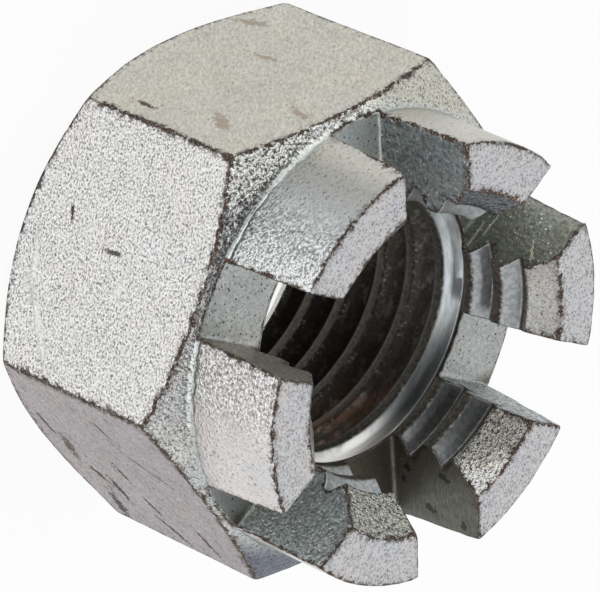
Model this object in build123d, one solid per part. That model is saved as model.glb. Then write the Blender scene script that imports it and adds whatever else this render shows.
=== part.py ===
from build123d import *
import os
from math import cos, radians, tan

# Castle nut for an M24 x 3 bolt: one forged, slotted and tapped piece of steel.
# Millimetres. The origin is the centre of the bearing face, and +Z runs up the thread axis
# to the crown. A slot opens on +X, so two flats face +X and -X, and corners point to +Y and -Y.

# Hexagon body
side_count = 6
across_flats = 36.0
corner_radius = 0.7  # rounding down the six upright edges
bearing_face_dia = 35.8  # flat face left by the chamfer under the hexagon
bearing_chamfer_angle = 40.0  # degrees from the bearing face

# Crown
nut_height = 27.5
crown_root_height = 19.1  # where the crown rises out of the upper chamfer
crown_root_dia = 34.7
crown_draft_angle = 0.5  # degrees that the crown's side leans in towards its tip
crown_chamfer_angle = 26.5  # degrees from level, on the shoulder round the crown
crown_root_fillet = 0.8
crown_tip_rounding = 0.3

# Slots for the split pin, one across each pair of opposite flats
slot_floor_height = 19.3
slot_floor_width = 5.2
slot_mouth_width = 6.2  # the slot walls lean apart towards the tip of the crown
slot_corner_radius = 0.3  # where the slot's floor meets its walls
slot_edge_break = 0.25  # along the end faces, on both sides of each slot

# Tapped hole, at the diameter of the thread's crests
thread_minor_dia = 21.2
tip_countersink_dia = 26.9
tip_countersink_angle = 90.0  # full angle of the cone
bearing_countersink_dia = 26.0
bearing_countersink_angle = 90.0  # full angle of the cone

# Tool overrun past the faces it cuts
overrun = 1.0

across_corners = across_flats / cos(radians(180 / side_count))


def turned_solid(points):
    """Revolve a closed outline, given as (radius, height) corners, round the thread axis."""
    return revolve(Plane.XZ * make_face(Polyline(*points, close=True)), Axis.Z)


def rounded_corner(outline, corner, radius):
    """Round the one corner of a flat outline that lies nearest to the given point."""
    return fillet(outline.vertices().sort_by_distance(Vector(*corner))[0], radius)


def hexagon_bar():
    """Hexagonal bar with rounded upright edges, as tall as the nut, with flats across X."""
    section = RegularPolygon(
        across_flats / 2, side_count, major_radius=False, rotation=180 / side_count
    )
    return extrude(fillet(section.vertices(), corner_radius), nut_height)


def turned_envelope():
    """Bearing chamfer, upper chamfer and crown as one turned outline, wider than the bar between."""
    bearing_r, root_r = bearing_face_dia / 2, crown_root_dia / 2
    tip_r = root_r - (nut_height - crown_root_height) * tan(radians(crown_draft_angle))
    outer_r = across_corners / 2 + overrun
    lower_z = (outer_r - bearing_r) * tan(radians(bearing_chamfer_angle))
    upper_z = crown_root_height - (outer_r - root_r) * tan(radians(crown_chamfer_angle))
    root, tip = (root_r, crown_root_height), (tip_r, nut_height)
    outline = make_face(
        Polyline(
            (0, 0), (bearing_r, 0), (outer_r, lower_z), (outer_r, upper_z),
            root, tip, (0, nut_height), close=True,
        )
    )
    outline = rounded_corner(outline, root, crown_root_fillet)
    outline = rounded_corner(outline, tip, crown_tip_rounding)
    return revolve(Plane.XZ * outline, Axis.Z)


def tapped_hole():
    """Straight hole at the crest diameter, opened by a countersink at each end."""
    crest_r = thread_minor_dia / 2
    tip_slope = tan(radians(tip_countersink_angle / 2))
    bearing_slope = tan(radians(bearing_countersink_angle / 2))
    tip_r, bearing_r = tip_countersink_dia / 2, bearing_countersink_dia / 2
    return turned_solid(
        [
            (0, -overrun),
            (bearing_r + overrun * bearing_slope, -overrun),
            (crest_r, (bearing_r - crest_r) / bearing_slope),
            (crest_r, nut_height - (tip_r - crest_r) / tip_slope),
            (tip_r + overrun * tip_slope, nut_height + overrun),
            (0, nut_height + overrun),
        ]
    )


def slot_cutter():
    """Channel along X through both sides of the crown, with leaning walls and a flared mouth."""
    floor_half, mouth_half = slot_floor_width / 2, slot_mouth_width / 2
    lean = (mouth_half - floor_half) / (nut_height - slot_floor_height)
    floor_end = (floor_half, slot_floor_height)
    flare_start = (mouth_half - lean * slot_edge_break, nut_height - slot_edge_break)
    flare_end = (mouth_half + slot_edge_break + overrun, nut_height + overrun)
    right_side = [floor_end, flare_start, flare_end]
    left_side = [(-across, height) for across, height in reversed(right_side)]
    section = make_face(Polyline(*right_side, *left_side, close=True))
    for corner in (right_side[0], left_side[-1]):
        section = rounded_corner(section, corner, slot_corner_radius)
    return extrude(Plane.YZ * section, across_corners, both=True)


def castle_nut():
    """Hexagon bar turned to its envelope, drilled for the thread and slotted across the crown."""
    nut = hexagon_bar() & turned_envelope()
    nut -= tapped_hole()
    for index in range(side_count // 2):
        nut -= Rot(0, 0, 360 / side_count * index) * slot_cutter()
    return nut


os.makedirs("parts", exist_ok=True)
nut = castle_nut()
nut.label = "castle_nut"
export_step(nut, "parts/castle_nut.step")
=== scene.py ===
from math import atan, cos, pi, radians, sin, sqrt, tan

import bpy
import numpy as np
from mathutils import Matrix, Vector, kdtree, noise


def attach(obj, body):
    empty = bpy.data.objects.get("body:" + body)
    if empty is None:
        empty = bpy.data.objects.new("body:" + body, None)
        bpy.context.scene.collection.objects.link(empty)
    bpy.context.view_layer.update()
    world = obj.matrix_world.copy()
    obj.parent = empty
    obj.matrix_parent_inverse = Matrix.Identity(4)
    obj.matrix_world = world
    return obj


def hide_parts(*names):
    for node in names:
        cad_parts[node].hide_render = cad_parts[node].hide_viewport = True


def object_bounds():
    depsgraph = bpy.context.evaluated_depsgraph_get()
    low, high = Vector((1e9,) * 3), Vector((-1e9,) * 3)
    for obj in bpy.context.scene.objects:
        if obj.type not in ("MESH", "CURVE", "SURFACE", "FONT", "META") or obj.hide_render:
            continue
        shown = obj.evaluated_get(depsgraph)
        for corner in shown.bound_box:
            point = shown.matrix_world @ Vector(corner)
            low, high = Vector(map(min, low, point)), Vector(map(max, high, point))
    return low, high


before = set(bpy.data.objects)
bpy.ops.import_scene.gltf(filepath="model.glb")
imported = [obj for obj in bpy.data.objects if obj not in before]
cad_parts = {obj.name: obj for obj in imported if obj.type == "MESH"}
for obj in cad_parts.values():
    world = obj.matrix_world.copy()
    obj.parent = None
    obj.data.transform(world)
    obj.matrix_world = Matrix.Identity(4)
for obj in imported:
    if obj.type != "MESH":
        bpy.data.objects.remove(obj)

# Castle nut, M24 x 3, zinc-plated forged steel. The nut stands on its bearing face, with the
# thread axis on Z and a slot on +X. Sizes are in millimetres until a mesh is made.
MM, MICROMETRE = 0.001, 0.000001
cad_low, cad_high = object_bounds()
scene = bpy.context.scene

# -------- sizes, as in the part's source
SIDES = 6
SIDE_ANGLE = 360 / SIDES
APOTHEM = (cad_high.x - cad_low.x) / 2 / MM
TIP_Z = cad_high.z / MM
CORNER_RADIUS = 0.8
BEARING_R = 17.9
BEARING_SLOPE = tan(radians(40))
ROOT_R, ROOT_Z = 17.35, 19.1
ROOT_REACH = 0.55  # how far the fillet at the crown's root runs up the wall and down the shoulder
SHOULDER_SLOPE = tan(radians(26.5))
DRAFT = tan(radians(0.5))
FLOOR_Z = 19.3
FLOOR_HALF, MOUTH_HALF = 2.6, 3.1
CREST_R, MAJOR_R = 10.6, 12.0
TIP_SINK_R, BEARING_SINK_R = 13.45, 13.0
PITCH = 3.0
THREAD_START = 0.62  # height of a crest's lower edge on +X

# What the photograph shows of this one nut's scatter. The crown and its countersink lie a little
# off the thread's axis, and each slot was cut a little to one side and to its own width.
CROWN_SHIFT, CROWN_SHIFT_ANGLE = 0.25, 350
SLOT_SHIFT = np.array([-0.24, 0.18, 0.08, 0.04, -0.39, -0.2])  # towards the next slot round
FLOOR_EXTRA = np.array([0.0, 0.0, 0.0, 0.1, -0.1, 0.3])  # added to half the width at the floor
MOUTH_EXTRA = np.array([0.34, 0.15, 0.07, 0.29, 0.1, 0.02])  # and at the prongs' tips
SCATTER_LOW, SCATTER_HIGH = 17.6, 19.0  # the scatter fades out between these heights
# How far the rounding of each prong's corners reaches at its tip: outside and in the bore, at the
# prong's wall on the lower angle and then on the higher one. The first prong is centred on 30 degrees.
PRONG_CORNERS = (
    ((0.4, 0.5), (0.7, 0.4)),
    ((0.35, 0.3), (0.5, 0.35)),
    ((0.55, 0.3), (1.0, 0.3)),
    ((1.35, 0.4), (0.45, 0.4)),
    ((0.3, 0.3), (0.4, 1.1)),
    ((0.4, 0.6), (0.5, 0.5)),
)

# -------- mesh density
NEAR = (0, 0.06, 0.14, 0.26, 0.45)  # distances of the first rows from an edge that is rounded
CORNER_NEAR = (0, 0.14, 0.42, 0.9, 1.65)
THREAD_ROWS = 12  # rows in one pitch, as many as the thread profile has points
SETTLE = 8  # rounds in which a column's angle, radius and height settle on each other


def spaced(length, step, near=NEAR, far=NEAR):
    """Shares of a length, from 0 to 1: close together at both ends and a step apart between."""
    count = max(1, round((length - near[-1] - far[-1]) / step))
    middle = np.linspace(near[-1], length - far[-1], count + 1)[1:-1]
    return np.concatenate([near, middle, length - np.array(far[::-1])]) / length


# -------- the surfaces
def fade_in(z):
    """0 below the crown and 1 from its root up, smoothly."""
    t = np.clip((z - SCATTER_LOW) / (SCATTER_HIGH - SCATTER_LOW), 0, 1)
    return t * t * (3 - 2 * t)


def off_centre(angle):
    """How far the crown's surface is shifted outwards at this angle."""
    return CROWN_SHIFT * np.cos(np.radians(angle - CROWN_SHIFT_ANGLE))


def slot_half(slot, z):
    """Half a slot's width at a height: its walls lean apart above its floor."""
    rise = np.clip((z - FLOOR_Z) / (TIP_Z - FLOOR_Z), 0, 1)
    floor = FLOOR_HALF + FLOOR_EXTRA[slot] * fade_in(z)
    return floor + (MOUTH_HALF + MOUTH_EXTRA[slot] - floor) * rise


def hexagon_radius(angle):
    """Distance of the hexagon's side from the axis, with rounded corners. Angles are in degrees."""
    off_corner = np.abs((angle % SIDE_ANGLE) - SIDE_ANGLE / 2)
    flat = APOTHEM / np.cos(np.radians(SIDE_ANGLE / 2 - off_corner))
    centre = (APOTHEM - CORNER_RADIUS) / cos(radians(SIDE_ANGLE / 2))
    off = np.radians(off_corner)
    inside = np.clip(CORNER_RADIUS**2 - (centre * np.sin(off)) ** 2, 0, None)
    arc = centre * np.cos(off) + np.sqrt(inside)
    tangent = atan(CORNER_RADIUS / 2 / (centre + CORNER_RADIUS * cos(radians(SIDE_ANGLE / 2))))
    return np.where(off < tangent, arc, flat)


# The thread's profile over one pitch, from the lower edge of a crest up: a flat crest, the flank
# that faces the tip, a narrow root and the flank that faces the bearing side.
THREAD_PROFILE = np.array([
    (0.06, CREST_R), (0.33, CREST_R), (0.60, CREST_R), (0.84, CREST_R),
    (0.99, CREST_R + 0.13), (1.38, (CREST_R + MAJOR_R) / 2), (1.72, MAJOR_R - 0.1),
    (1.84, MAJOR_R), (2.10, MAJOR_R),
    (2.22, MAJOR_R - 0.1), (2.58, (CREST_R + MAJOR_R) / 2), (2.93, CREST_R + 0.07),
])
THREAD_PHASES, THREAD_RADII = THREAD_PROFILE[:, 0] / PITCH, THREAD_PROFILE[:, 1]


def thread_radius(angle, z):
    """Right-hand thread: flat crests, 60 degree flanks and narrow flat roots."""
    phase = ((z - THREAD_START) / PITCH - angle / 360) % 1
    phases = np.concatenate([[THREAD_PHASES[-1] - 1], THREAD_PHASES, [THREAD_PHASES[0] + 1]])
    radii = np.concatenate([[THREAD_RADII[-1]], THREAD_RADII, [THREAD_RADII[0]]])
    return np.interp(phase, phases, radii)


def sink_radius(angle, z):
    """The two countersinks, 45 degrees to the axis."""
    return np.maximum(TIP_SINK_R + off_centre(angle) - (TIP_Z - z), BEARING_SINK_R - z)


def bore_radius(angle, z):
    return np.maximum(thread_radius(angle, z), sink_radius(angle, z))


def thread_rows(angle, low, high):
    """Heights between low and high that follow the thread's corners at this angle."""
    inner_low, inner_high = low + NEAR[-1], high - NEAR[-1]
    step = PITCH / THREAD_ROWS
    count = int((inner_high - inner_low) / step)
    shift = round((inner_low - THREAD_START) / step - angle / 360 * THREAD_ROWS)
    entry = np.arange(1, count) + shift
    turn, place = np.divmod(entry, THREAD_ROWS)
    z = THREAD_START + PITCH * (angle / 360 + turn + THREAD_PHASES[place])
    gap = 0.2 * step
    z = np.clip(z, inner_low + gap * np.arange(1, count), inner_high - gap * np.arange(count - 1, 0, -1))
    return np.concatenate([low + np.array(NEAR), z, high - np.array(NEAR[::-1])])


# -------- columns round the nut
# A column lies a share of the way from a slot's upper wall to its own lower wall, or to the next
# slot's lower wall. "Upper" is the wall at the higher angle.
slot_shares = spaced(2 * FLOOR_HALF, 0.42)
half_prong = spaced(6.48, 0.45, near=CORNER_NEAR, far=CORNER_NEAR) / 2
prong_shares = np.concatenate([half_prong, 1 - half_prong[-2::-1]])
SLOT_STEPS, PRONG_STEPS = len(slot_shares) - 1, len(prong_shares) - 1
SECTOR = SLOT_STEPS + PRONG_STEPS
COLUMNS = SIDES * SECTOR
column_slot = np.repeat(np.arange(SIDES), SECTOR)
column_next = column_slot + np.tile(np.repeat([0, 1], [SLOT_STEPS, PRONG_STEPS]), SIDES)
column_share = np.tile(np.concatenate([1 - slot_shares[:-1], prong_shares[:-1]]), SIDES)


def wall_angle(slot, upper, r, z):
    """Angle at which a slot's upper or lower wall stands at this radius and height."""
    half = slot_half(slot % SIDES, z)
    reach = (half if upper else -half) + SLOT_SHIFT[slot % SIDES] * fade_in(z)
    return slot * SIDE_ANGLE + np.degrees(np.arcsin(reach / r))


def column_angle(columns, r, z):
    share = column_share[columns]
    upper = wall_angle(column_slot[columns], True, r, z)
    return upper * (1 - share) + wall_angle(column_next[columns], False, r, z) * share


def on_columns(columns, surface, shares):
    """Points of a surface, rows by columns. surface(angle, share) gives (r, z)."""
    share = np.asarray(shares)[:, None]
    angle = np.broadcast_to(column_angle(columns, ROOT_R, 0)[None, :], (len(share), len(columns)))
    for _ in range(SETTLE):
        r, z = surface(angle, share)
        r, z = np.broadcast_to(r, angle.shape), np.broadcast_to(z, angle.shape)
        angle = column_angle(columns[None, :], r, z)
    return to_points(angle, r, z)


def to_points(angle, r, z):
    a = np.radians(angle)
    return np.stack([r * np.cos(a), r * np.sin(a), np.broadcast_to(z, a.shape)], -1)


def wall_radius(angle, z):
    return ROOT_R + off_centre(angle) - (z - ROOT_Z) * DRAFT


def root_fillet(r, z, distance):
    """Moves a point of the shoulder or the crown's wall, at this distance from their corner."""
    level = atan(SHOULDER_SLOPE)
    push = np.clip(ROOT_REACH - distance, 0, None) ** 2 / (4 * ROOT_REACH)
    return r + push * cos(level), z + push * (1 - sin(level))


def bearing_ring(angle, share):
    return BEARING_SINK_R + (BEARING_R - BEARING_SINK_R) * share, 0.0


def bearing_chamfer(angle, share):
    r = BEARING_R + (hexagon_radius(angle) - BEARING_R) * share
    return r, (r - BEARING_R) * BEARING_SLOPE


def hexagon_side(angle, share):
    r = hexagon_radius(angle)
    bottom = (r - BEARING_R) * BEARING_SLOPE
    top = ROOT_Z - (r - ROOT_R) * SHOULDER_SLOPE
    return r, bottom + (top - bottom) * share


def shoulder(angle, share):
    edge, root = hexagon_radius(angle), ROOT_R + off_centre(angle)
    level = ROOT_Z - (edge - ROOT_R) * SHOULDER_SLOPE
    r, z = edge + (root - edge) * share, level + (ROOT_Z - level) * share
    return root_fillet(r, z, (edge - root) * (1 - share) * sqrt(1 + SHOULDER_SLOPE**2))


def crown_wall(angle, share):
    z = ROOT_Z + (FLOOR_Z - ROOT_Z) * share
    return root_fillet(wall_radius(angle, z), z, z - ROOT_Z)


def prong_outside(angle, share):
    z = FLOOR_Z + (TIP_Z - FLOOR_Z) * share
    return root_fillet(wall_radius(angle, z), z, z - ROOT_Z)


def prong_end(angle, share):
    outer, inner = wall_radius(angle, TIP_Z), TIP_SINK_R + off_centre(angle)
    return outer + (inner - outer) * share, TIP_Z


def bore_points(columns, low, high):
    """Rows of the bore from low to high, with the thread's corners on rows of the mesh.

    The columns follow the slots' walls on the prongs, and stand straight below them."""
    nominal = (CREST_R + MAJOR_R) / 2
    straight = column_angle(columns, nominal, 0)
    z = np.stack([thread_rows(a, low, high) for a in straight], 1)
    inside = np.ones(len(z))
    inside[: len(NEAR)] = np.linspace(0, 1, len(NEAR))
    inside[-len(NEAR):] = np.linspace(1, 0, len(NEAR))
    angle = np.broadcast_to(straight[None, :], z.shape)
    moved = z
    for _ in range(SETTLE):
        r = bore_radius(angle, moved)
        hold = np.clip(1 - (FLOOR_Z - moved), 0, 1)
        angle = column_angle(columns[None, :], nominal + (r - nominal) * hold, moved)
        moved = z + inside[:, None] * PITCH * (angle - straight[None, :]) / 360
    r = bore_radius(angle, moved)
    return to_points(angle, r, moved), angle, moved


# -------- the mesh
class Shell:
    """Vertices in millimetres and faces, collected patch by patch."""

    def __init__(self):
        self.points, self.count = [], 0
        self.faces, self.looks = [], []

    def add(self, points):
        """Adds a grid of points and gives their indices in the same layout."""
        shape = points.shape[:-1]
        size = int(np.prod(shape))
        self.points.append(points.reshape(-1, 3))
        self.count += size
        return np.arange(self.count - size, self.count).reshape(shape)

    @staticmethod
    def corners(grid):
        """The four corners of every cell of a grid, in order round it."""
        return grid[:-1, :-1], grid[:-1, 1:], grid[1:, 1:], grid[1:, :-1]

    def skin(self, grid, look, flip=False):
        """Quads over a grid of indices. look is one name, or an array with one for each face."""
        a, b, c, d = self.corners(grid)
        quads = np.stack([a, b, c, d] if not flip else [a, d, c, b], -1).reshape(-1, 4)
        looks = np.broadcast_to(look, a.shape).reshape(-1)
        self.faces += quads.tolist()
        self.looks += looks.tolist()

    def skin_bore(self, grid, angle, z, look):
        """Triangles over a grid of the bore, split along whichever diagonal lies nearer the thread."""
        a, b, c, d = self.corners(grid)
        places = self.corners(np.stack([angle, z, bore_radius(angle, z)], -1))

        def miss(i, j):
            """How far the thread lies from the middle of the diagonal between two corners."""
            middle = (places[i] + places[j]) / 2
            return np.abs(bore_radius(middle[..., 0], middle[..., 1]) - middle[..., 2])

        split_ac = (miss(0, 2) <= miss(1, 3))[..., None]
        first = np.where(split_ac, np.stack([a, b, c], -1), np.stack([a, b, d], -1))
        second = np.where(split_ac, np.stack([a, c, d], -1), np.stack([b, c, d], -1))
        looks = np.broadcast_to(look, a.shape).reshape(-1)
        self.faces += first.reshape(-1, 3).tolist() + second.reshape(-1, 3).tolist()
        self.looks += looks.tolist() * 2


shell = Shell()
every = np.arange(COLUMNS)
feature = {"bore": 0}  # the ring's row at which each part of it begins


def build_ring():
    """The full rings under the slots: down the bore, over the bearing face and up the outside."""
    bore, angle, z = bore_points(every, 0, FLOOR_Z)
    parts = [  # name, surface, usual length and the step between its rows
        ("bearing_ring", bearing_ring, BEARING_R - BEARING_SINK_R, 0.9),
        ("bearing_chamfer", bearing_chamfer, 2.2, 0.45),
        ("side", hexagon_side, 16.5, 0.6),
        ("shoulder", shoulder, 2.6, 0.4),
    ]
    rows = [bore[::-1]]
    total = len(bore) - 1
    for name, surface, length, step in parts:
        shares = spaced(length, step)
        feature[name] = total
        rows.append(on_columns(every, surface, shares)[1:])
        total += len(shares) - 1
    rows.append(on_columns(every, crown_wall, [0.5, 1]))
    feature["floor"] = total + 2
    return shell.add(np.concatenate(rows)), angle[::-1], z[::-1]


ring, ring_angle, ring_z = build_ring()


def bore_look(angle, z, sink):
    """Names the look of each face of the bore: the thread's, or the countersink's."""
    mid_angle = (angle[:-1, :-1] + angle[1:, 1:]) / 2
    mid_z = (z[:-1, :-1] + z[1:, 1:]) / 2
    sunk = sink_radius(mid_angle, mid_z) > thread_radius(mid_angle, mid_z)
    return np.where(sunk, sink, "thread")


def skin_ring():
    angle = np.concatenate([ring_angle, ring_angle[:, :1] + 360], 1)
    z = np.concatenate([ring_z, ring_z[:, :1]], 1)
    closed = ring[:, np.append(every, 0)]

    def rows(first, last):
        return closed[feature[first] : feature[last] + 1]

    shell.skin_bore(rows("bore", "bearing_ring"), angle, z, bore_look(angle, z, "bearing_sink"))
    shell.skin(rows("bearing_ring", "bearing_chamfer"), "bearing_face")
    shell.skin(rows("bearing_chamfer", "side"), "shoulder")
    flats = rows("side", "shoulder")
    flat = (column_slot + ((column_next > column_slot) & (column_share >= 0.5))) % SIDES
    looks = np.array([f"flat_{round(side * SIDE_ANGLE)}" for side in range(SIDES)])[flat]
    shell.skin(flats, np.broadcast_to(looks, (len(flats) - 1, COLUMNS)))
    shell.skin(rows("shoulder", "floor"), "shoulder")


skin_ring()

end_shares = spaced(ROOT_R - TIP_SINK_R, 0.33, near=CORNER_NEAR, far=CORNER_NEAR)
END_STEPS = len(end_shares) - 1
LEVELS = len(thread_rows(0, FLOOR_Z, TIP_Z)) - 1  # steps up a prong, outside and in the bore


def build_prong(side):
    """One prong as a strip: up its outside, over its end and down the bore."""
    columns = (side * SECTOR + SLOT_STEPS + np.arange(PRONG_STEPS + 1)) % COLUMNS
    inside, angle, z = bore_points(columns, FLOOR_Z, TIP_Z)
    angle = angle + 360 * (columns < columns[0])  # the last prong ends on the first slot's column
    height = TIP_Z - FLOOR_Z
    rise = np.concatenate([
        NEAR[:-1],
        np.linspace(NEAR[-1], height - NEAR[-1], LEVELS - 2 * len(NEAR) + 3),
        height - np.array(NEAR[-2::-1]),
    ]) / height
    outside = on_columns(columns, prong_outside, rise[1:])
    end = on_columns(columns, prong_end, end_shares[1:])
    strip = shell.add(np.concatenate([outside, end, inside[-2:0:-1]]))
    strip = np.concatenate([ring[-1:, columns], strip, ring[:1, columns]])
    shell.skin(strip[: LEVELS + 1], "crown")
    shell.skin(strip[LEVELS : LEVELS + END_STEPS + 1], "end_face")
    angle, z = angle[::-1], z[::-1]
    shell.skin_bore(strip[LEVELS + END_STEPS :], angle, z, bore_look(angle, z, f"cone_{side}"))
    return strip


prongs = [build_prong(side) for side in range(SIDES)]
sharp = np.concatenate(shell.points)


def radius_of(indices):
    return np.hypot(sharp[indices, 0], sharp[indices, 1])


def between(columns, outer, inner, shares):
    """Points from outer to inner vertices, kept on their columns."""
    ro, ri, zo, zi = radius_of(outer), radius_of(inner), sharp[outer, 2], sharp[inner, 2]
    r, z = ro + (ri - ro) * shares, zo + (zi - zo) * shares
    return to_points(column_angle(columns, r, z), r, z)


def build_slot_floor(side):
    columns = (side * SECTOR + np.arange(SLOT_STEPS + 1)) % COLUMNS
    outer, inner = ring[-1, columns], ring[0, columns]
    middle = shell.add(between(columns[None], outer[None], inner[None], end_shares[1:-1, None]))
    floor = np.concatenate([outer[None], middle, inner[None]])
    shell.skin(floor, "slot_floor")
    return floor


floors = [build_slot_floor(side) for side in range(SIDES)]


def wall_name(side, upper):
    return f"wall_{side}_{'high' if upper else 'low'}"


def build_wall(side, upper):
    """The slot wall on a prong's lower or higher angle: rows up from the floor, columns inwards."""
    edge = prongs[side][:, -1 if upper else 0]
    column = (side * SECTOR + SLOT_STEPS + (PRONG_STEPS if upper else 0)) % COLUMNS
    top = edge[LEVELS : LEVELS + END_STEPS + 1]
    outer, inner = edge[1:LEVELS, None], edge[-2 : LEVELS + END_STEPS : -1, None]
    middle = shell.add(between(np.array([[column]]), outer, inner, end_shares[None, 1:-1]))
    floor = floors[(side + 1) % SIDES][:, 0] if upper else floors[side][:, -1]
    wall = np.concatenate([outer, middle, inner], 1)
    wall = np.concatenate([floor[None], wall, top[None]])
    shell.skin(wall, wall_name(side, upper), flip=not upper)
    return wall


walls = {(side, upper): build_wall(side, upper) for side in range(SIDES) for upper in (False, True)}
sharp = np.concatenate(shell.points)


# -------- worn edges
SEED = 11


def wander(point, size, seed=0):
    """Smooth noise from -1 to 1 with features of this size in millimetres."""
    return noise.noise(Vector(point) / size + Vector((SEED + 17.3 * seed, 5.1 * seed, -3.7 * seed)))


def unit(v):
    return v / np.maximum(np.linalg.norm(v, axis=-1, keepdims=True), 1e-9)


worn_edges = []  # the vertices of every edge that shows wear
moves = np.zeros_like(sharp)


def soften(edge, side_a, side_b, reach, worn=True):
    """Rounds an edge, unevenly. side_a and side_b hold the next rows of vertices on either side."""
    corner = sharp[edge]
    far_a, far_b = sharp[side_a[-1]] - corner, sharp[side_b[-1]] - corner
    room = np.minimum(np.linalg.norm(far_a, axis=-1), np.linalg.norm(far_b, axis=-1))
    uneven = np.array([0.35 * wander(p, 0.7, 1) + 0.45 * wander(p, 2.5, 2) for p in corner])
    t = np.clip(reach + np.minimum(reach, 0.4) * uneven, 0.02, 0.95 * room)
    push = unit(far_a) + unit(far_b)
    moves[edge] += push * (t / 4)[:, None]
    for line in (side_a, side_b):
        for row in line:
            gap = np.linalg.norm(sharp[row] - corner, axis=-1)
            moves[row] += push * (np.clip(t - gap, 0, None) ** 2 / (4 * t))[:, None]
    if worn:
        worn_edges.append(edge)


NEXT = list(range(1, len(NEAR)))  # the rows beside a grid's first row or column
BEFORE = [-1 - k for k in NEXT]  # and beside its last one


def tip_reach(edge, at_tip, below, length):
    """Reach of the rounding along an upright edge: over this length it grows to the prong's tip."""
    t = np.clip((sharp[edge, 2] - TIP_Z) / length + 1, 0, 1)
    return below + (at_tip - below) * t


def soften_row(grid, row, reach):
    soften(grid[row], [grid[row - k] for k in NEXT], [grid[row + k] for k in NEXT], reach)


def soften_prong_edges(side, upper):
    """The edges round one of a prong's walls: outside, over the tip, down the bore, at the floor."""
    strip, wall, bore = prongs[side], walls[side, upper], LEVELS + END_STEPS
    floor = floors[(side + upper) % SIDES]
    last, beside = (-1, BEFORE) if upper else (0, NEXT)
    floor_last, floor_beside = (0, NEXT) if upper else (-1, BEFORE)
    edge, skin = strip[:, last], strip[:, beside].T
    outer, inner = PRONG_CORNERS[side][upper]
    outside, over, down = slice(0, LEVELS + 1), slice(LEVELS, bore + 1), slice(bore, None)
    reach = tip_reach(edge[outside], outer, 0.75 * outer, 12.0)
    soften(edge[outside], skin[:, outside], wall[:, NEXT].T, reach)
    soften(edge[over], skin[:, over], wall[BEFORE], 0.34)
    soften(edge[down], skin[:, down], wall[::-1, BEFORE].T, tip_reach(edge[down], inner, 0.14, 3.0))
    soften(floor[:, floor_last], floor[:, floor_beside].T, wall[NEXT], 0.36, worn=False)


def soften_all():
    for name, reach in (("bearing_ring", 0.2), ("bearing_chamfer", 0.3), ("side", 0.4), ("shoulder", 0.36)):
        soften_row(ring, feature[name], reach)
    for strip in prongs:
        soften_row(strip, LEVELS, 0.4)
        soften_row(strip, LEVELS + END_STEPS, 0.34)
    for side, upper in walls:
        soften_prong_edges(side, upper)
    for floor in floors:
        columns = floor[0] - ring[-1, 0]
        soften(floor[0], ring[BEFORE][:, columns], floor[NEXT], 0.2)
        soften(floor[-1], ring[NEXT][:, columns], floor[BEFORE], 0.16)
    hexagon_corner = SLOT_STEPS + PRONG_STEPS // 2
    for side in range(SIDES):
        upright = ring[feature["side"] : feature["shoulder"] + 1, side * SECTOR + hexagon_corner]
        worn_edges.append(upright)


def hammer(points, normals):
    """The forged, plated skin is a little wavy: it dips below the true surface, never above it."""
    radius = np.hypot(points[:, 0], points[:, 1])
    depth = np.clip((radius - MAJOR_R) / 2, 0, 1) * 0.045
    wave = np.array([wander(p, 1.3, 5) + wander(p, 3.6, 6) for p in points])
    return points - normals * (depth * np.clip(0.5 + 0.5 * wave, 0, 1))[:, None]


soften_all()


# -------- distance from the worn edges
def edge_distances(points):
    """Distance of every vertex from the nearest worn edge, in millimetres."""
    step = 0.12
    marks = []
    for edge in worn_edges:
        line = sharp[edge]
        for a, b in zip(line[:-1], line[1:]):
            count = max(1, int(np.linalg.norm(b - a) / step))
            marks += [a + (b - a) * k / count for k in range(count)]
        marks.append(line[-1])
    tree = kdtree.KDTree(len(marks))
    for i, mark in enumerate(marks):
        tree.insert(mark, i)
    tree.balance()
    return [tree.find(p)[2] for p in points]


# -------- looks
RUST, RUST_PALE, RUST_WARM = (0.050, 0.036, 0.030), (0.50, 0.42, 0.34), (0.125, 0.066, 0.042)
GRIME = (0.10, 0.095, 0.09)
EDGE_ATTRIBUTE = "edge_mm"
LOOKS = {}  # the finished materials by name


def put(tree, socket, value):
    """Gives a node's input a number, a tuple or the socket that feeds it."""
    if isinstance(value, bpy.types.NodeSocket):
        tree.links.new(value, socket)
    elif isinstance(value, tuple) and len(value) < len(socket.default_value):
        socket.default_value = (*value, 1)
    else:
        socket.default_value = value


def feed(tree, node, values):
    for socket, value in zip(node.inputs, values):
        put(tree, socket, value)


def add_node(tree, kind, operation=None, **inputs):
    node = tree.nodes.new("ShaderNode" + kind)
    if operation:
        node.operation = operation
    for name, value in inputs.items():
        put(tree, node.inputs[name], value)
    return node


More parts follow.
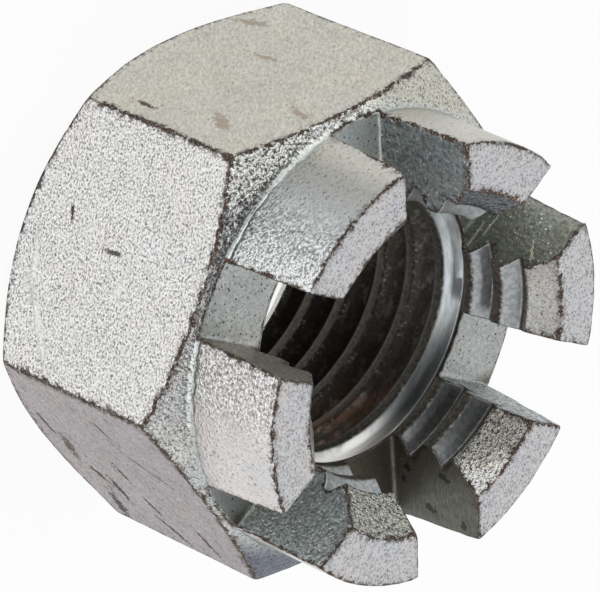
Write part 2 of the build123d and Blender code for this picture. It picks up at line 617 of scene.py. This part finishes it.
class Paint:
    """Builds one metal material in layers. Sizes are in millimetres on the nut, heights in micrometres."""

    def __init__(self, name, tone, rough):
        self.material = bpy.data.materials.new(name)
        self.material.use_nodes = True
        self.tree = self.material.node_tree
        place = self.node("TexCoord").outputs["Object"]
        self.place = self.vector("MULTIPLY", place, (1 / MM, 1 / MM, 1 / MM))
        self.shifts = 0
        self.colour, self.rough, self.height, self.metal = tone, rough, 0.0, 1.0

    # ---- node helpers: values are numbers, tuples or sockets
    def node(self, kind, operation=None, **inputs):
        return add_node(self.tree, kind, operation, **inputs)

    def vector(self, operation, a, b, out="Vector"):
        node = self.node("VectorMath", operation)
        feed(self.tree, node, (a, b))
        return node.outputs[out]

    def reach(self, axis):
        """How far out a point lies along an axis."""
        return self.vector("DOT_PRODUCT", self.place, axis, "Value")

    def math(self, operation, a, b=0.0, c=0.0):
        node = self.node("Math", operation)
        feed(self.tree, node, (a, b, c))
        return node.outputs[0]

    def both(self, *masks):
        """The product of masks: 1 where all of them are."""
        product = masks[0]
        for mask in masks[1:]:
            product = self.math("MULTIPLY", product, mask)
        return product

    def ramp(self, value, low, high, to_low=0.0, to_high=1.0, shape="SMOOTHSTEP"):
        """Maps low..high to to_low..to_high and holds beyond them."""
        node = self.node("MapRange")
        node.interpolation_type = shape
        feed(self.tree, node, (value, low, high, to_low, to_high))
        return node.outputs["Result"]

    def slope(self, value, low, high, to_low, to_high):
        return self.ramp(value, low, high, to_low, to_high, "LINEAR")

    def mix(self, share, a, b, blend="MIX"):
        node = self.node("Mix")
        node.data_type, node.blend_type = "RGBA", blend
        colours = [s for s in node.inputs if s.type == "RGBA"]
        for socket, value in zip([node.inputs[0], *colours], (share, a, b)):
            put(self.tree, socket, value)
        return [s for s in node.outputs if s.type == "RGBA"][0]

    def along(self, axes, sizes):
        """Coordinates along three axes, each divided by its own size."""
        join = self.node("CombineXYZ")
        scaled = (self.reach(tuple(v / size for v in axis)) for axis, size in zip(axes, sizes))
        feed(self.tree, join, scaled)
        return join.outputs[0]

    def moved(self, place=None):
        """The place, moved so that each pattern has its own part of the noise."""
        self.shifts += 1
        return self.vector("ADD", place or self.place, (7.3 * self.shifts, 3.1 * self.shifts, SEED))

    def noise(self, size, detail=2.0, roughness=0.5, place=None):
        """Noise from 0 to 1, centred on 0.5."""
        settings = {"Scale": 1 / size, "Detail": detail, "Roughness": roughness}
        return self.node("TexNoise", Vector=self.moved(place), **settings).outputs[0]

    def dots(self, size, share):
        """Round dots, one at most in each cell of this size. share is how many cells have one."""
        cells = self.node("TexVoronoi", Vector=self.moved(), Scale=1 / size).outputs
        chance = self.node("SeparateColor", Color=cells["Color"]).outputs[0]
        radius = self.slope(chance, 1 - share, 1.0, 0.0, 0.36)
        return self.ramp(self.math("SUBTRACT", radius, cells["Distance"]), -0.02, 0.1)

    def raise_by(self, value, micrometres):
        self.height = self.math("MULTIPLY_ADD", value, micrometres, self.height)

    def shade(self, light):
        """Multiplies the colour by a number."""
        self.colour = self.node("VectorMath", "SCALE", Vector=self.colour, Scale=light).outputs[0]

    def lighten(self, mask, share):
        """Makes the colour this share lighter where the mask is 1, or darker below 0."""
        self.shade(self.math("MULTIPLY_ADD", mask, share, 1.0))

    def cover(self, mask, tone, strength=1.0):
        """Lays a tone over the colour where the mask is 1."""
        self.colour = self.mix(self.both(mask, strength), self.colour, tone)

    # ---- layers
    def clouds(self, share, size, warm=0.02):
        """Large soft changes in lightness, and from warm to cool."""
        self.shade(self.slope(self.noise(size, 3, 0.6), 0.25, 0.75, 1 - share, 1 + share))
        tint = self.ramp(self.noise(size * 1.3, 2), 0.3, 0.7)
        hue = self.mix(tint, (1 - warm, 1 - warm / 3, 1 + warm), (1 + warm, 1, 1 - warm))
        self.colour = self.mix(1.0, self.colour, hue, "MULTIPLY")

    def gouge(self, angle, across, up, length, width, tilt, tone=RUST, strength=0.95, depth=50.0):
        """One mark on a flat, this far round the nut from the flat's middle and up its axis."""
        round_nut, axis, _ = (Vector(v) for v in flat_axes(angle))
        centre = round_nut * across + axis * up
        squares = []
        for direction, size in zip(slanted(angle, tilt)[:2], (length, width)):
            away = self.math("SUBTRACT", self.reach(direction), centre.dot(direction))
            away = self.math("DIVIDE", away, size / 2)
            squares.append(self.both(away, away))
        away = self.math("SQRT", self.math("ADD", *squares))
        away = self.math("MULTIPLY_ADD", self.noise(0.4, 4, 0.8), 5.0, self.math("SUBTRACT", away, 2.5))
        cut = self.ramp(away, 0.8, 1.2, 1.0, 0.0)
        self.cover(cut, tone, strength)
        self.raise_by(cut, -depth)

    def marks(self, angle):
        for mark in MARKS.get(self.material.name, ()):
            self.gouge(angle, *mark)

    def near_root(self):
        """1 on the smooth fillet at the crown's root, 0 away from it."""
        z = self.math("SUBTRACT", self.reach((0, 0, 1)), 0.3)
        z = self.math("MULTIPLY_ADD", self.noise(0.8, 2), 0.6, z)
        above = self.ramp(z, ROOT_Z + 0.25, ROOT_Z + 0.6, 1.0, 0.0)
        return self.both(above, self.ramp(z, ROOT_Z - 0.3, ROOT_Z))

    def towards(self, angle, low, high):
        """0 to 1 as the distance from the axis towards this angle grows from low to high."""
        a = radians(angle)
        return self.ramp(self.reach((cos(a), sin(a), 0)), low, high)

    def grain(self, size, share, relief, rough_spread=0.1, axes=None, stretch=(1, 1, 1)):
        """Fine grain in lightness, roughness and relief. share and relief may be sockets."""
        fine = self.noise(size, 2.5, 0.6, None if axes is None else self.along(axes, stretch))
        self.shade(self.slope(fine, 0.3, 0.7, 1 - share * 1.2, 1 + share * 0.8))
        change = self.slope(fine, 0.3, 0.7, rough_spread, -rough_spread)
        self.rough = self.math("ADD", self.rough, change)
        self.raise_by(fine, relief)

    def pebbles(self, where, size, detail, spread, dark, light, relief):
        """Pebbles where a mask is 1: real relief, with painted glints and painted shade as their bright and
        dark colour. A small spread makes them sharp.
        """
        pebble = self.noise(size, detail, 0.6)
        change = self.slope(pebble, 0.5 - spread, 0.5 + spread, -dark, light)
        self.lighten(where, change)
        self.raise_by(self.both(pebble, where), relief)

    def swell(self, size, relief):
        """Soft lumps left by forging."""
        self.raise_by(self.noise(size, 2), relief)

    def pits(self, size, share, shade, depth):
        """Small ragged holes, darker than the skin. share is how much of it they take."""
        level = 0.70 - 0.55 * share
        hole = self.ramp(self.noise(size), level, level + 0.07)
        self.lighten(hole, -shade)
        self.raise_by(hole, -depth)

    def flecks(self, size, share, tone, strength=0.8, depth=0.0):
        """Round flecks of another tone."""
        marks = self.dots(size, share)
        self.cover(marks, tone, strength)
        self.raise_by(marks, -depth)

    def scratches(self, axes, sizes, share, tone, strength=0.7, depth=20.0):
        """Long marks along the first axis."""
        lines = self.noise(1.0, 3, 0.7, self.along(axes, sizes))
        level = 0.72 - 0.3 * share
        cut = self.ramp(lines, level, level + 0.08)
        self.cover(cut, tone, strength)
        self.raise_by(cut, -depth)

    def rusted(self, amount, width, smudge):
        """The last layer: broken rust along the nut's edges, grime round it, pale freckles in it."""
        edge = self.node("Attribute")
        edge.attribute_name = EDGE_ATTRIBUTE
        ragged = self.math("MULTIPLY_ADD", self.noise(0.7, 4, 0.75), 7 * width, -3.5 * width)
        gap = self.math("ADD", edge.outputs["Fac"], ragged)
        level = 0.56 - 0.2 * amount
        broken = self.ramp(self.noise(1.0, 3, 0.65), level, level + 0.07)
        line = self.both(self.ramp(gap, 0.5 * width, 1.3 * width, 1.0, 0.0), broken)
        near = self.ramp(gap, width, 3.2 * width, 1.0, 0.0)
        self.cover(self.both(near, self.ramp(self.noise(0.6, 3, 0.7), 0.46, 0.6)), GRIME, smudge)
        warm_spots = self.ramp(self.noise(0.2), 0.45, 0.62)
        warm = self.both(warm_spots, self.ramp(self.noise(3.5), 0.42, 0.58))
        brown = self.mix(warm, RUST, RUST_WARM)
        brown = self.mix(self.ramp(self.noise(0.14, 1), 0.6, 0.68), brown, RUST_PALE)
        self.cover(line, brown)
        self.rough = self.math("MAXIMUM", self.both(line, 0.8), self.rough)
        self.metal = self.math("MULTIPLY_ADD", line, -0.85, 1.0)
        self.raise_by(line, -12.0)
        self.done()

    def done(self):
        relief = self.node("Bump", Strength=1.0, Distance=MICROMETRE, Height=self.height)
        settings = {
            "Base Color": self.colour,
            "Roughness": self.rough,
            "Metallic": self.metal,
            "Normal": relief.outputs[0],
        }
        for name, value in settings.items():
            put(self.tree, self.tree.nodes["Principled BSDF"].inputs[name], value)
        LOOKS[self.material.name] = self.material


def flat_axes(angle):
    """Round the nut, along its axis and out of the flat that faces this angle."""
    a = radians(angle)
    return (-sin(a), cos(a), 0), (0, 0, 1), (cos(a), sin(a), 0)


def slanted(angle, tilt):
    """The flat's own axes, turned in its plane by tilt degrees from round the nut towards the tip."""
    round_nut, up, out = (Vector(v) for v in flat_axes(angle))
    t = radians(tilt)
    return tuple(round_nut * cos(t) + up * sin(t)), tuple(up * cos(t) - round_nut * sin(t)), tuple(out)


# Dents, spots and rubbed places, as the photograph shows them: how far along the flat from its
# middle (or along the slot from the nut's axis), height, length, width and tilt in degrees, and
# then the tone, where it isn't a plain dark one.
POLISHED, BROWN, FAINT = (0.98, 0.98, 0.97), (0.10, 0.065, 0.045), (0.47, 0.40, 0.33)
OILY, YELLOW = (0.055, 0.05, 0.04), (0.70, 0.68, 0.48)
MARKS = {
    "flat_0": (
        (0.5, 3.0, 3.2, 0.9, -10, BROWN), (3.5, 4.5, 2.0, 0.6, 40), (8.0, 4.0, 3.6, 1.0, -5),
        (-6.0, 10.5, 2.0, 0.35, 25, BROWN), (5.0, 9.5, 2.0, 0.45, 25), (4.5, 6.0, 3.0, 0.6, 10),
        (7.0, 14.0, 3.0, 0.5, 15, BROWN), (-2.0, 2.0, 2.4, 0.45, 10), (8.0, 10.0, 3.2, 0.5, 40),
        (-2.0, 13.5, 4.6, 0.22, 60, BROWN), (1.0, 8.5, 2.4, 0.35, 20)),
    "flat_240": (
        (-2.5, 8.0, 1.8, 0.5, 100, FAINT), (2.5, 16.5, 2.0, 0.5, 75, FAINT),
        (8.5, 6.5, 1.8, 0.4, 85, BROWN), (7.0, 13.0, 2.5, 0.9, 60, FAINT),
        (-6.0, 3.0, 2.2, 0.8, 110, FAINT)),
    "flat_300": (
        (-2.0, 4.5, 1.1, 0.3, 15), (-0.5, 9.5, 1.5, 0.35, 90, GRIME),
        (2.5, 2.5, 4.5, 0.6, 15, POLISHED, 0.6), (7.0, 5.0, 6.5, 0.6, 35, POLISHED, 0.6)),
    "wall_1_low": (
        (12.7, 20.6, 0.9, 0.7, 30, OILY), (13.8, 20.3, 0.7, 0.5, 0, OILY),
        (11.2, 21.1, 0.8, 0.7, 0, OILY), (12.4, 24.2, 0.9, 0.6, 70, OILY),
        (15.6, 22.8, 1.0, 0.55, 60, OILY), (16.1, 26.0, 0.6, 0.4, 0, OILY)),
    "wall_2_high": (
        (11.9, 20.3, 2.9, 0.2, -2, YELLOW), (12.7, 20.9, 1.6, 0.15, 0, YELLOW),
        (12.5, 25.3, 2.1, 0.2, -30, YELLOW)),
}


def bright_flat(angle):
    p = Paint(f"flat_{angle}", (0.98, 0.965, 0.945), 0.45)
    p.clouds(0.05, 3.5, warm=0.01)
    p.swell(1.4, 120)
    p.grain(0.17, 0.6, 140, axes=slanted(angle, 12), stretch=(1.2, 0.95, 0.95))
    p.pits(0.17, 0.24, 0.6, 30)
    p.scratches(slanted(angle, 60), (1.6, 0.2, 0.4), 0.06, GRIME, 0.7)
    p.marks(angle)
    p.rusted(0.85, 0.2, 0.8)


def dull_flat(angle):
    p = Paint(f"flat_{angle}", (0.66, 0.645, 0.58), 0.6)
    p.clouds(0.05, 3.0, warm=0.015)
    p.grain(0.22, 0.14, 25, axes=slanted(angle, 45), stretch=(2.4, 0.9, 0.9))
    p.pits(0.25, 0.12, 0.4, 8)
    p.scratches(slanted(angle, 45), (1.5, 0.35, 0.4), 0.26, (0.33, 0.27, 0.21), 0.6, 6)
    p.marks(angle)
    p.rusted(0.85, 0.17, 0.9)


def scratched_flat(angle):
    p = Paint(f"flat_{angle}", (0.45, 0.42, 0.43), 0.55)
    p.clouds(0.07, 3.0, warm=0.015)
    p.grain(0.2, 0.2, 40)
    p.pits(0.2, 0.2, 0.5, 12)
    p.scratches(slanted(angle, 10), (2.2, 0.35, 0.4), 0.42, (0.12, 0.10, 0.09), 0.8, 25)
    p.scratches(slanted(angle, 30), (2.5, 0.22, 0.4), 0.42, (0.16, 0.12, 0.10), 0.7, 15)
    p.flecks(0.45, 0.3, (0.13, 0.10, 0.09), 0.7, 10)
    p.marks(angle)
    p.rusted(1.0, 0.26, 0.9)


def shoulder_look():
    p = Paint("shoulder", (0.59, 0.595, 0.585), 0.16)
    p.clouds(0.06, 2.5)
    p.swell(1.2, 60)
    root = p.near_root()
    off_root = p.math("SUBTRACT", 1.0, root)
    # Painted light: the shoulder is painted pale and lighter towards 250 degrees, and painted shade darkens
    # it towards 278 degrees.
    p.cover(p.towards(250, 15.8, 17.6), (1.0, 1.0, 0.92))
    p.lighten(p.towards(247, 15.8, 17.6), 0.45)
    p.lighten(p.towards(278, 16.4, 17.6), -0.3)
    p.cover(p.towards(210, 15.5, 18.0), (0.60, 0.59, 0.52))
    # Painted reflection: a cyan-grey band on the fillet at the crown's root.
    p.cover(root, (0.45, 0.49, 0.485), 0.6)
    p.cover(p.towards(38, 15.5, 18.5), (0.15, 0.165, 0.21))
    p.grain(0.28, 0.18, p.math("MULTIPLY_ADD", root, -200.0, 220.0), 0.04)
    # The pebbles' bright and dark colour is painted glints and painted shade; their relief is real.
    p.pebbles(p.both(p.towards(265, 14.8, 17.0), off_root), 0.25, 2.5, 0.1, 0.86, 0.98, 200.0)
    p.pits(0.2, 0.25, 0.6, 15)
    p.rusted(0.85, 0.2, 0.7)


def crown_look():
    """Forged skin: dull beside the dull flat, pebbled beside the bright one, smooth elsewhere. Towards 270
    degrees it carries painted light: a cool painted reflection, a painted dark band, a lighter part and a
    painted highlight along the root fillet.
    """
    p = Paint("crown", (0.70, 0.68, 0.665), 0.2)
    p.clouds(0.05, 2.5)
    p.swell(1.5, 60)
    root = p.near_root()
    off_root = p.math("SUBTRACT", 1.0, root)
    dull = p.towards(225, 12.3, 15.0)
    cool = p.towards(272, 14.0, 16.5)
    # Painted reflection: a cool tint towards 272 degrees.
    p.cover(cool, (0.76, 0.785, 0.79))
    p.cover(dull, (0.61, 0.605, 0.55))
    # Painted shade: a darker band towards 269 degrees. Painted light: lighter towards 287 degrees.
    p.lighten(p.both(p.towards(269, 16.4, 17.3), off_root), -0.42)
    p.lighten(p.towards(287, 16.2, 17.3), 0.3)
    # Painted highlight along the fillet at the crown's root, cooler and brighter towards 272 degrees.
    p.cover(root, p.mix(cool, (0.46, 0.50, 0.495), (0.76, 0.83, 0.84)), 0.75)
    p.rough = p.math("MULTIPLY_ADD", dull, 0.2, 0.2)
    p.grain(0.28, 0.1, p.math("MULTIPLY_ADD", root, -100.0, 120.0), 0.04)
    # The pebbles' light and dark colour is painted glints and painted shade; their relief is real.
    p.pebbles(p.both(p.towards(298, 14.6, 16.8), off_root), 0.23, 3, 0.12, 0.55, 0.72, 250.0)
    p.pits(0.22, 0.16, 0.5, 12)
    p.rusted(0.95, 0.24, 0.7)


def end_face_look():
    p = Paint("end_face", (0.59, 0.588, 0.598), 0.45)
    p.clouds(0.04, 2.0, warm=0.02)
    p.grain(0.2, 0.08, 14)
    p.pits(0.16, 0.3, 0.4, 10)
    p.flecks(0.33, 0.5, (0.14, 0.11, 0.10), 0.75, 5)
    p.rusted(0.95, 0.19, 0.7)


def slot_floor_look():
    p = Paint("slot_floor", (0.42, 0.435, 0.42), 0.42)
    p.clouds(0.08, 2.0)
    # Painted light: lighter on the floor of the slot at 240 degrees.
    p.lighten(p.towards(240, 9.0, 12.0), 0.42)
    p.cover(p.towards(60, 9.0, 10.5), (0.135, 0.12, 0.095))
    p.grain(0.2, 0.18, 20)
    p.pits(0.17, 0.1, 0.4, 8)
    p.flecks(0.3, 0.9, (0.05, 0.045, 0.04), 0.95, 8)
    p.rusted(0.6, 0.13, 0.5)


# ---- the countersink: each prong's part of it gets its own tone and relief, partly finish and partly painted light and reflection
def cone_paint(name, tone, rough, relief):
    p = Paint(name, tone, rough)
    p.clouds(0.08, 2.0)
    p.grain(0.27, 0.3, relief, 0.04)
    p.pits(0.25, 0.28, 0.7, 20)
    return p


def pebbled_cone(name):
    p = cone_paint(name, (0.56, 0.55, 0.51), 0.18, 600)
    # Painted highlight: the cone is painted up to nearly three times lighter towards 55 degrees.
    p.lighten(p.towards(55, 9.8, 12.2), 1.9)
    p.rusted(0.95, 0.19, 0.6)


def green_cone(name):
    p = cone_paint(name, (0.68, 0.685, 0.63), 0.22, 400)
    p.rusted(1.0, 0.22, 0.7)


def pale_cone(name):
    p = Paint(name, (0.42, 0.415, 0.40), 0.4)
    p.clouds(0.06, 2.0)
    p.grain(0.22, 0.15, 60, 0.04)
    p.pits(0.17, 0.2, 0.4, 10)
    p.flecks(0.33, 0.5, (0.14, 0.11, 0.10), 0.75, 5)
    p.rusted(1.0, 0.22, 0.7)


def blue_cone(name):
    p = cone_paint(name, (0.22, 0.235, 0.255), 0.35, 150)
    p.scratches(slanted(0, 25), (3.0, 0.2, 0.3), 0.45, (0.06, 0.055, 0.055), 0.7, 20)
    p.rusted(1.0, 0.22, 0.7)


def bearing_look():
    p = Paint("bearing_face", (0.55, 0.55, 0.54), 0.45)
    p.clouds(0.08, 3)
    p.grain(0.2, 0.12, 20)
    p.pits(0.2, 0.1, 0.5, 10)
    p.rusted(0.7, 0.13, 0.5)


# ---- the walls of the slots: each cut left its own finish, and their tones also hold painted shade and reflection from inside the slots
def wall_paint(name, tone, rough, slot):
    """A milled wall: fine marks along the slot, which lies at this angle."""
    p = Paint(name, tone, rough)
    p.clouds(0.12, 2.0)
    p.grain(0.22, 0.15, 20, axes=slanted(slot + 90, 0), stretch=(2.5, 0.8, 0.8))
    p.pits(0.2, 0.08, 0.5, 8)
    return p


def blue_wall(name, slot):
    p = wall_paint(name, (0.50, 0.54, 0.55), 0.6, slot)
    p.grain(0.3, 0.5, 80)
    p.scratches(slanted(slot + 90, 85), (1.8, 0.16, 0.4), 0.35, (0.85, 0.85, 0.83), 0.6, 10)
    # Painted glints: white flecks.
    p.flecks(0.3, 0.75, (0.98, 0.98, 0.97), 0.95)
    p.rusted(1.0, 0.3, 0.7)


def sparkling_wall(name, slot):
    p = wall_paint(name, (0.52, 0.56, 0.54), 0.6, slot)
    p.grain(0.24, 0.5, 160)
    # Painted glints: white flecks.
    p.flecks(0.26, 1.0, (0.98, 0.98, 0.97), 0.95)
    p.rusted(1.0, 0.2, 0.6)


def olive_wall(name, slot):
    p = wall_paint(name, (0.29, 0.305, 0.26), 0.42, slot)
    p.grain(0.3, 0.3, 60)
    p.scratches(slanted(slot + 90, 75), (2.5, 0.2, 0.4), 0.16, (0.75, 0.72, 0.48), 0.7, 10)
    p.scratches(slanted(slot + 90, 50), (2.5, 0.2, 0.4), 0.12, (0.75, 0.72, 0.48), 0.6, 10)
    # Painted glints: pale flecks.
    p.flecks(0.32, 0.7, (0.85, 0.85, 0.80), 0.85)
    p.marks(slot - 90)
    p.rusted(1.0, 0.2, 0.7)


def dark_wall(name, slot):
    # Painted shade: a near-black tone for a wall in the shade of its slot.
    p = wall_paint(name, (0.145, 0.145, 0.127), 0.42, slot)
    p.marks(slot - 90)
    p.rusted(0.9, 0.15, 0.6)


def grimy_wall(name, slot):
    p = wall_paint(name, (0.66, 0.64, 0.56), 0.5, slot)
    p.grain(0.3, 0.4, 60)
    p.scratches(slanted(slot + 90, 5), (1.5, 0.3, 0.4), 0.25, (0.08, 0.07, 0.06), 0.7, 15)
    p.rusted(1.0, 0.2, 0.8)


# The flat kinds differ in lightness partly by finish and partly by painted light: the bright kind is
# painted as a lit flat, the scratched kind as a shaded one.
FLAT_KINDS = (scratched_flat, bright_flat, bright_flat, scratched_flat, dull_flat, bright_flat)
CONE_KINDS = (green_cone, pebbled_cone, pale_cone, blue_cone, pale_cone, pebbled_cone)
# For each prong: its wall on the lower angle and on the higher one.
WALL_KINDS = (
    (sparkling_wall, grimy_wall),
    (dark_wall, blue_wall),
    (grimy_wall, olive_wall),
    (sparkling_wall, blue_wall),
    (olive_wall, dark_wall),
    (grimy_wall, blue_wall),
)


def thread_look():
    """Tapped thread: bright on the flanks near the tip and near black deeper in, partly oil and rust and
    partly painted shade of the deep bore.
    """
    p = Paint("thread", (0.5, 0.5, 0.5), 0.4)
    x, y, z = (p.reach(axis) for axis in ((1, 0, 0), (0, 1, 0), (0, 0, 1)))
    turn = p.math("DIVIDE", p.math("ARCTAN2", y, x), 2 * pi)
    height = p.math("DIVIDE", p.math("SUBTRACT", z, THREAD_START), PITCH)
    phase = p.math("FRACT", p.math("SUBTRACT", height, turn))  # 0 where a crest begins
    streak = p.noise(1.0, 4, 0.65, p.vector("DIVIDE", p.place, (2.6, 2.6, 0.35)))
    blotch = p.noise(1.3, 3, 0.65)
    grit = p.noise(0.35, 3, 0.65)
    crest = p.both(p.ramp(phase, 0.0, 0.03), p.ramp(phase, 0.27, 0.33, 1.0, 0.0))
    rim = p.both(p.ramp(phase, 0.22, 0.27), p.ramp(phase, 0.33, 0.38, 1.0, 0.0))
    flank = p.both(p.ramp(phase, 0.27, 0.34), p.ramp(phase, 0.56, 0.62, 1.0, 0.0))
    # Painted light and shade: the flanks are bright above about 17 mm and dark below, partly oil and partly
    # painted shade in the depth of the bore.
    clean_and_lit = p.ramp(p.math("MULTIPLY_ADD", blotch, 3.0, z), 16.8, 18.8)
    patches = p.both(p.ramp(blotch, 0.48, 0.62), p.ramp(streak, 0.4, 0.62), 0.25)
    bright = p.both(flank, p.math("MAXIMUM", clean_and_lit, patches))
    dark = p.mix(p.ramp(grit, 0.35, 0.7), (0.062, 0.054, 0.044), (0.105, 0.092, 0.074))
    worn = p.mix(p.ramp(grit, 0.38, 0.62), (0.060, 0.054, 0.045), (0.135, 0.125, 0.108))
    dark = p.mix(p.both(crest, p.ramp(streak, 0.3, 0.6, 0.5, 1.0)), dark, worn)
    glint = p.both(rim, p.ramp(grit, 0.5, 0.62), p.ramp(blotch, 0.42, 0.56))
    dark = p.mix(glint, dark, (0.44, 0.42, 0.37))
    rusty = p.both(p.ramp(p.noise(1.2, 3), 0.58, 0.68), p.ramp(streak, 0.45, 0.65), 0.7)
    low = p.both(p.ramp(z, 11.0, 13.0), p.ramp(z, 15.3, 16.3, 1.0, 0.0))
    rust_patch = p.both(low, p.towards(67, 9.7, 10.8), p.ramp(streak, 0.38, 0.6))
    dark = p.mix(p.math("MAXIMUM", rusty, rust_patch), dark, (0.26, 0.14, 0.085))
    steel = p.mix(p.ramp(streak, 0.35, 0.65), (0.46, 0.52, 0.55), (0.74, 0.76, 0.77))
    # Painted highlight: near-white flanks towards 60 degrees.
    steel = p.mix(p.towards(60, 9.6, 11.2), steel, (0.97, 0.97, 0.94))
    prong_steel = p.mix(p.ramp(grit, 0.4, 0.6), (0.26, 0.30, 0.31), (0.42, 0.41, 0.41))
    steel = p.mix(p.ramp(z, FLOOR_Z - 0.2, FLOOR_Z + 0.4), steel, prong_steel)
    p.colour = p.mix(bright, dark, steel)
    p.rough = p.slope(bright, 0.0, 1.0, 0.5, 0.32)
    p.metal = p.slope(bright, 0.0, 1.0, 0.35, 1.0)
    p.raise_by(p.both(p.math("SUBTRACT", 1.0, bright), grit), 40.0)
    p.raise_by(streak, 12.0)
    p.done()


def build_looks():
    for side, kind in enumerate(FLAT_KINDS):
        kind(round(side * SIDE_ANGLE))
    for side, kinds in enumerate(WALL_KINDS):
        for upper, kind in enumerate(kinds):
            kind(wall_name(side, upper), (side + upper) * SIDE_ANGLE)
    shoulder_look()
    crown_look()
    end_face_look()
    slot_floor_look()
    for side, kind in enumerate(CONE_KINDS):
        kind(f"cone_{side}")
    pebbled_cone("bearing_sink")
    bearing_look()
    thread_look()


build_looks()


def put_in_scene(name, data):
    thing = bpy.data.objects.new(name, data)
    scene.collection.objects.link(thing)
    return thing


def build_nut():
    mesh = bpy.data.meshes.new("castle_nut_body")
    mesh.from_pydata(((sharp + moves) * MM).tolist(), [], shell.faces)
    normals = np.empty(len(mesh.vertices) * 3, dtype=np.float32)
    mesh.vertices.foreach_get("normal", normals)
    worn = hammer(sharp + moves, normals.reshape(-1, 3))
    mesh.vertices.foreach_set("co", (worn * MM).astype(np.float32).ravel())
    names = list(LOOKS)
    for name in names:
        mesh.materials.append(LOOKS[name])
    index = {name: i for i, name in enumerate(names)}
    mesh.polygons.foreach_set("material_index", [index[look] for look in shell.looks])
    mesh.polygons.foreach_set("use_smooth", [True] * len(mesh.polygons))
    mesh.attributes.new(EDGE_ATTRIBUTE, "FLOAT", "POINT").data.foreach_set("value", edge_distances(sharp))
    mesh.update()
    return put_in_scene("castle_nut_body", mesh)


nut = build_nut()
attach(nut, "root")
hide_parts("castle_nut")


# -------- floor, light and camera
def build_floor():
    """A pale floor just below the nut. The camera and the nut's mirroring skin see it nearly
    white, with the nut's shadow on it, and to all other light it is plain paint."""
    half, z, own_light = 3.0, -0.00001, 0.93
    mesh = bpy.data.meshes.new("floor")
    corners = [(-half, -half, z), (half, -half, z), (half, half, z), (-half, half, z)]
    mesh.from_pydata(corners, [], [(0, 1, 2, 3)])
    material = bpy.data.materials.new("floor_white")
    material.use_nodes = True
    tree = material.node_tree
    paint = tree.nodes["Principled BSDF"]
    put(tree, paint.inputs["Base Color"], (0.9, 0.9, 0.9))
    put(tree, paint.inputs["Roughness"], 0.9)
    ray = add_node(tree, "LightPath").outputs
    seen = ray["Is Camera Ray"]
    for kind in ("Is Glossy Ray", "Is Transmission Ray"):
        either = add_node(tree, "Math", "MAXIMUM")
        feed(tree, either, (seen, ray[kind]))
        seen = either.outputs[0]
    share = add_node(tree, "Math", "MULTIPLY")
    feed(tree, share, (seen, own_light))
    mix = add_node(tree, "MixShader")
    feed(tree, mix, (share.outputs[0], paint.outputs[0], add_node(tree, "Emission").outputs[0]))
    put(tree, tree.nodes["Material Output"].inputs["Surface"], mix.outputs[0])
    mesh.materials.append(material)
    put_in_scene("floor", mesh)


def direction(azimuth, elevation):
    """Unit vector towards a place seen from the nut. Azimuth 0 is -Y and 90 is +X."""
    a, e = radians(azimuth), radians(elevation)
    return Vector((sin(a) * cos(e), -cos(a) * cos(e), sin(e)))


def area_light(name, azimuth, elevation, distance, size, energy):
    light = bpy.data.lights.new(name, "AREA")
    light.shape, light.size, light.energy = "DISK", size, energy
    lamp = put_in_scene(name, light)
    away = direction(azimuth, elevation)
    lamp.location = away * distance
    lamp.rotation_mode = "QUATERNION"
    lamp.rotation_quaternion = away.to_track_quat("Z", "Y")


def build_camera():
    """Long lens, looking down on the nut from the front right, rolled so that its axis leans over."""
    azimuth, elevation, roll = 21.52, 39.01, 113.664
    distance, lens = 382.85, 306.2
    aim = Vector((-0.21, -0.639, 13.111))
    forward = -direction(azimuth, elevation)
    level = forward.cross(Vector((0, 0, 1))).normalized()
    upright = level.cross(forward)
    right = level * cos(radians(roll)) + upright * sin(radians(roll))
    up = right.cross(forward)
    camera = put_in_scene("camera", bpy.data.cameras.new("camera"))
    place = (aim - forward * distance) * MM
    camera.matrix_world = Matrix((
        (right.x, up.x, -forward.x, place.x),
        (right.y, up.y, -forward.y, place.y),
        (right.z, up.z, -forward.z, place.z),
        (0, 0, 0, 1),
    ))
    camera.data.lens = lens
    camera.data.sensor_width = 36
    camera.data.clip_start, camera.data.clip_end = 0.01, 20
    scene.camera = camera


def build_world():
    """A bright studio with one dark side, high up behind the camera."""
    world = bpy.data.worlds.new("studio")
    scene.world = world
    world.use_nodes = True
    tree = world.node_tree
    toward = add_node(tree, "VectorMath", "DOT_PRODUCT")
    feed(tree, toward, (add_node(tree, "TexCoord").outputs["Generated"], tuple(direction(10, 60))))
    brightness = add_node(tree, "MapRange")
    brightness.interpolation_type = "SMOOTHSTEP"
    bright, dark, outer, inner = 1.0, 0.08, cos(radians(38)), cos(radians(27))
    feed(tree, brightness, (toward.outputs["Value"], outer, inner, bright, dark))
    feed(tree, tree.nodes["Background"], (brightness.outputs[0], 1.0))


build_floor()
build_world()
area_light("key", azimuth=70, elevation=30, distance=0.6, size=0.6, energy=0.5)
build_camera()
scene.view_settings.view_transform = "Standard"
